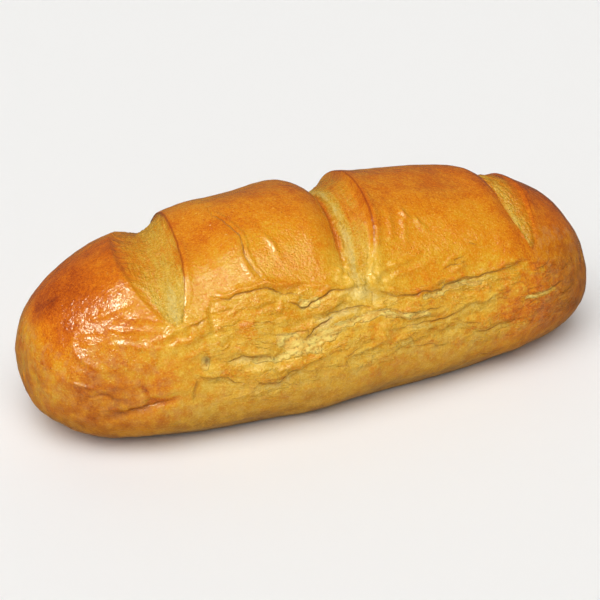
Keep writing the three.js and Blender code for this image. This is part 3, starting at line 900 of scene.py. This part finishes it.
def blended(a, b, share):
    """Colour a, going over to colour b as share goes from 0 to 1."""
    return node("ShaderNodeMix", {0: share, 6: a, 7: b}, data_type="RGBA").outputs[2]


spots = node("ShaderNodeTexCoord").outputs["Object"]


def grain(size_mm, detail=2.0, roughness=0.5, stretch=(1, 1, 1), distortion=0.0):
    """Noise from 0 to 1 whose widest swells are about size_mm apart."""
    where = spots
    if stretch != (1, 1, 1):
        where = node("ShaderNodeMapping", {"Vector": spots, "Scale": stretch}).outputs[0]
    made = node("ShaderNodeTexNoise", {"Vector": where, "Scale": 1 / (size_mm * MM), "Detail": detail,
                                       "Roughness": roughness, "Distortion": distortion})
    return made.outputs["Fac"]


def pores(size_mm):
    """Distance from the nearest of many spots about size_mm apart."""
    return node("ShaderNodeTexVoronoi", {"Vector": spots, "Scale": 1 / (size_mm * MM)}).outputs["Distance"]


def terraces(size_mm):
    """Flat steps drawn out along the loaf."""
    return ranged(grain(size_mm, 4, 0.6, (0.35, 1, 1), 0.6), 0.48, 0.52)


# the skin's layers, the grains over them, and the patterns that both make
low, top, floor, pale = attribute("low"), attribute("top"), attribute("floor"), attribute("pale")
torn_side, flaked, scar = attribute("torn_side"), attribute("flaked"), attribute("scar")
crack_off, crack_open = attribute("crack_off"), attribute("crack_open")
swell, mottle, fleck, grit = grain(26, 3), grain(6.5, 4, 0.6), grain(1.6, 3, 0.6), grain(0.7, 2, 0.6)
ragged, torn = grain(2.2, 4, 0.65), grain(2.6, 4, 0.65, (0.45, 1, 1))
strand_place = node("ShaderNodeCombineXYZ", {"X": attribute("strand_across"),
                                             "Y": times(attribute("strand_along"), 0.13)}).outputs[0]
strands = node("ShaderNodeTexNoise", {"Vector": strand_place, "Scale": 0.75, "Detail": 4.0,
                                      "Roughness": 0.65}).outputs["Fac"]
bare = ranged(plus(attribute("crumb"), times(centred(ragged), 0.55)), 0.44, 0.56)
pits = times(ranged(plus(pores(2.3), times(centred(ragged), 0.5)), 0.05, 0.3, 1.0, 0.0), bare)
blisters = times(ranged(pores(2.2), 0.04, 0.24, 1.0, 0.0), ranged(grain(5, 2), 0.4, 0.6))
parted = times(ranged(maths("ABSOLUTE", crack_off), 0.25, 1.1, 1.0, 0.0), crack_open)
edge = times(ranged(maths("ABSOLUTE", attribute("edge_off")), 0.15, 0.7, 1.0, 0.0), attribute("edge_open"))

# the crust's colour by how brown it is, painted shade and painted highlight included
bake = attribute("bake")
for share, grains in ((0.16, swell), (0.20, mottle), (0.34, fleck), (0.50, grit)):
    bake = plus(bake, times(centred(grains), share))
bake = plus(bake, times(times(centred(strands), floor), 0.55))
BAKE_COLOURS = [(0.0, (246, 213, 120)), (0.18, (236, 188, 66)), (0.36, (226, 160, 30)),
                (0.52, (226, 136, 14)), (0.68, (208, 102, 8)), (0.84, (172, 70, 8)), (1.0, (126, 46, 8))]
ramp = node("ShaderNodeValToRGB", {"Fac": bake})
while len(ramp.color_ramp.elements) < len(BAKE_COLOURS):
    ramp.color_ramp.elements.new(0.5)
for element, (at, tint) in zip(ramp.color_ramp.elements, BAKE_COLOURS):
    element.position = at
    element.color = linear(*tint)

# the colours laid over it one after another, each with its share
tan_and_low_shade = blended(linear(190, 130, 16), linear(152, 92, 6), ranged(mottle, 0.38, 0.62))
dusty = times(ranged(grain(4.5, 3, 0.6), 0.47, 0.62), ranged(low, 0.0, 0.12, 0.0, 0.24))
crumb_colour = blended(linear(228, 162, 46), linear(255, 226, 120), ranged(torn, 0.38, 0.64))
# share of pale specks: partly pale grain of the crust, partly painted glints on the torn side and the slash
# floors
specks_and_glints = plus(ranged(bake, 0.36, 0.66, 0.34, 0.04), times(torn_side, 0.15))
specks_and_glints = plus(specks_and_glints, times(times(floor, pale), 0.5))
colour = ramp.outputs["Color"]
for tint, share in (
    # darker tan towards the bottom and the ends: partly the crust's own duller colour, partly painted shade
    # where less light reaches
    (tan_and_low_shade, times(low, 0.75)),
    (linear(208, 166, 104), times(dusty, plus(1.0, times(low, -0.8)))),
    # warm brown inside the cracks: painted shade
    (linear(186, 112, 20), times(attribute("crack_shade"), plus(0.55, times(bare, -0.45)))),
    (crumb_colour, times(bare, 0.85)),
    # dark pores in the bare crumb: painted shade in the holes
    (linear(156, 100, 28), times(pits, 0.5)),
    # pale specks: crust grain, and painted highlight glints on the torn side and floors
    (linear(254, 214, 102), times(ranged(grain(0.9, 2, 0.6), 0.48, 0.7), specks_and_glints)),
    # dark line along each crack: painted shade
    (linear(160, 90, 18), times(parted, 0.6)),
    (linear(150, 52, 10), times(edge, 0.6)),
    # darker creases low on the crust: painted shade
    (linear(146, 78, 18), times(attribute("crease"), times(low, 0.6))),
    # the bite hole painted dark: painted shade
    (linear(112, 64, 16), times(attribute("hole"), 0.85)),
    (linear(116, 62, 20), times(attribute("foot"), 0.8)),
    (linear(140, 70, 14), times(ranged(pores(5.5), 0.035, 0.07, 1.0, 0.0), 0.4)),
):
    colour = blended(colour, tint, share)

# roughness: glossiest on top, and duller where the skin is torn
gloss = ranged(plus(top, times(centred(mottle), 0.5)), 0.0, 1.0, 0.28, 0.17)
for duller in (times(bare, 0.5), times(times(floor, pale), 0.3), times(parted, 0.8)):
    gloss = maths("MAXIMUM", gloss, duller)

# the finest relief: each pattern, and how far it rises in millimetres
height = 0.0
for pattern, rise in (
    (grain(1.2, 2, 0.5), 0.27),
    (times(grain(2.2, 3, 0.6), torn_side), 0.45),
    (grain(3.6, 2, 0.5), 0.32),
    (blisters, 0.16),
    (times(grain(3.6, 4, 0.7, (0.4, 1, 1)), flaked), 0.8),
    (times(terraces(7), flaked), 0.34),
    (times(terraces(3.6), flaked), 0.16),
    (parted, -0.3),
    (times(ranged(crack_off, -1.4, 0.5, 1.0, 0.0), crack_open), 0.6),
    (pits, -0.35),
    (times(torn, bare), 1.0),
    (times(strands, floor), 1.3),
    (times(fleck, times(floor, plus(pale, 0.35))), 2.1),
    (times(torn, scar), 0.9),
):
    height = plus(height, times(pattern, rise * MM))
relief = node("ShaderNodeBump", {"Height": height, "Strength": 1.0, "Distance": 1.0})

shader = node("ShaderNodeBsdfPrincipled", {
    "Base Color": colour,
    "Roughness": gloss,
    "IOR": 1.45,
    "Specular IOR Level": 0.8,
    "Specular Tint": (0.8, 1.0, 0.8, 1),
    "Normal": relief.outputs["Normal"],
})
node("ShaderNodeOutputMaterial", {"Surface": shader.outputs["BSDF"]})
mesh.materials.append(material)

# ---- floor, light and camera ------------------------------------------------------------------

STUDIO_REACH, STUDIO_GREY, STUDIO_ROUGHNESS = 6, 0.88, 0.9
SKY_COLOUR, SKY_STRENGTH = (1, 0.93, 0.78, 1), 0.12

floor_mesh = bpy.data.meshes.new("studio_floor")
floor_corners = [(-1, -1), (1, -1), (1, 1), (-1, 1)]
floor_mesh.from_pydata([(x * STUDIO_REACH, y * STUDIO_REACH, 0) for x, y in floor_corners],
                       [], [(0, 1, 2, 3)])
studio_floor = bpy.data.objects.new("studio_floor", floor_mesh)
bpy.context.scene.collection.objects.link(studio_floor)
white = bpy.data.materials.new("studio_white")
white.use_nodes = True
plain = white.node_tree.nodes["Principled BSDF"]
plain.inputs["Base Color"].default_value = (STUDIO_GREY, STUDIO_GREY, STUDIO_GREY, 1)
plain.inputs["Roughness"].default_value = STUDIO_ROUGHNESS
floor_mesh.materials.append(white)
studio_floor.visible_glossy = False  # the crust mirrors dark surroundings, as in the photo

world = bpy.data.worlds.new("studio")
world.use_nodes = True
sky = world.node_tree.nodes["Background"]
sky.inputs["Color"].default_value = SKY_COLOUR
sky.inputs["Strength"].default_value = SKY_STRENGTH
bpy.context.scene.world = world

# The camera stands RANGE from the loaf's middle, looks at a place AIM_RIGHT and AIM_UP from it as it sees
# it, and is turned by AZIMUTH round the loaf and ELEVATION up from its front side.
AZIMUTH, ELEVATION = math.radians(26.404), math.radians(26.295)
MIDDLE = np.array((-CENTRE[0] * MM, -CENTRE[1] * MM, 0.0419))
RANGE, AIM_RIGHT, AIM_UP = 0.70716, -0.0072, -0.0090
LENS, SENSOR_WIDTH, NEAREST_SEEN = 85.4, 36, 0.01
BACKWARD = np.array((-math.sin(AZIMUTH) * math.cos(ELEVATION), -math.cos(AZIMUTH) * math.cos(ELEVATION),
                     math.sin(ELEVATION)))
RIGHT = np.array((math.cos(AZIMUTH), -math.sin(AZIMUTH), 0))
UP = np.cross(BACKWARD, RIGHT)


def point_at(thing, where, target):
    """Puts a thing somewhere and turns it to look at its target, upright."""
    thing.location = Vector(where)
    thing.rotation_euler = (Vector(target) - Vector(where)).to_track_quat("-Z", "Y").to_euler()


def far_lamp(name, direction, spread, strength, mirrored=True, diffused=True):
    """Soft light from far away in a direction, spread over an angle in degrees.

    The crust mirrors it only where mirrored is set, and it lights the crust's own colour where diffused is.
    """
    light = bpy.data.lights.new(name, "SUN")
    light.angle = math.radians(spread)
    light.energy = strength
    made = bpy.data.objects.new(name, light)
    made.visible_glossy = mirrored
    made.visible_diffuse = diffused
    bpy.context.scene.collection.objects.link(made)
    point_at(made, np.array(direction), (0, 0, 0))


far_lamp("left_gloss", (-0.50, -0.15, 0.85), 17, 2.05, diffused=False)
far_lamp("right_gloss", (0.02, -0.20, 0.97), 13, 0.38, diffused=False)
far_lamp("front_gloss", (0.28, -0.45, 0.85), 16, 0.25, diffused=False)
far_lamp("back_light", (0.2, 0.8, 0.55), 60, 0.4, mirrored=False)
far_lamp("key_light", (-0.28, -0.33, 0.90), 70, 2.3, mirrored=False)
far_lamp("front_light", (-0.62, -0.58, 0.53), 100, 0.95, mirrored=False)

camera_data = bpy.data.cameras.new("camera")
camera_data.sensor_width = SENSOR_WIDTH
camera_data.lens = LENS
camera_data.clip_start = NEAREST_SEEN
camera = bpy.data.objects.new("camera", camera_data)
bpy.context.scene.collection.objects.link(camera)
point_at(camera, MIDDLE + RANGE * BACKWARD, MIDDLE + AIM_RIGHT * RIGHT + AIM_UP * UP)
bpy.context.scene.camera = camera
bpy.context.scene.view_settings.view_transform = "Standard"
